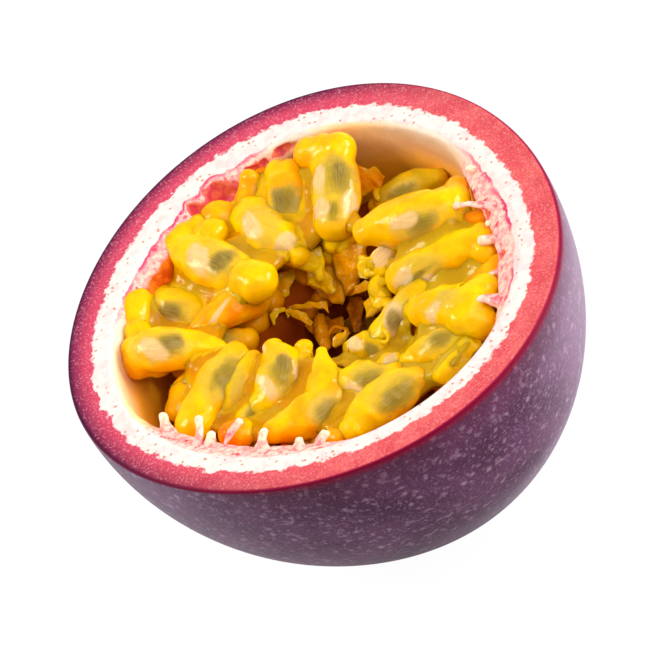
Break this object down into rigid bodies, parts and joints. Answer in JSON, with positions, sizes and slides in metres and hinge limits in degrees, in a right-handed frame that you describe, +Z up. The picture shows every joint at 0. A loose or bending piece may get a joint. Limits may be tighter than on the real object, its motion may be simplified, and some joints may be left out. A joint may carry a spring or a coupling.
{
  "type": "passion fruit half",
  "caption": "Half of a ripe purple passion fruit, a thick bowl of rind heaped with yellow juice sacs around an open middle.",
  "frame": {"origin": "centre of the bounding box's underside, in the small flat spot that it rests on", "axes": "+Z up through the cut face, which is level; -Y towards the side nearest the viewer in the usual view; +X to the right"},
  "size_m": [0.0484, 0.0518, 0.0292],
  "materials": {
    "rind": "matt purple skin over a white inner wall",
    "pulp": "wet, translucent yellow"
  },
  "bodies": {
    "root": {"rind": "rind", "pulp": "pulp"}
  },
  "joints": []
}
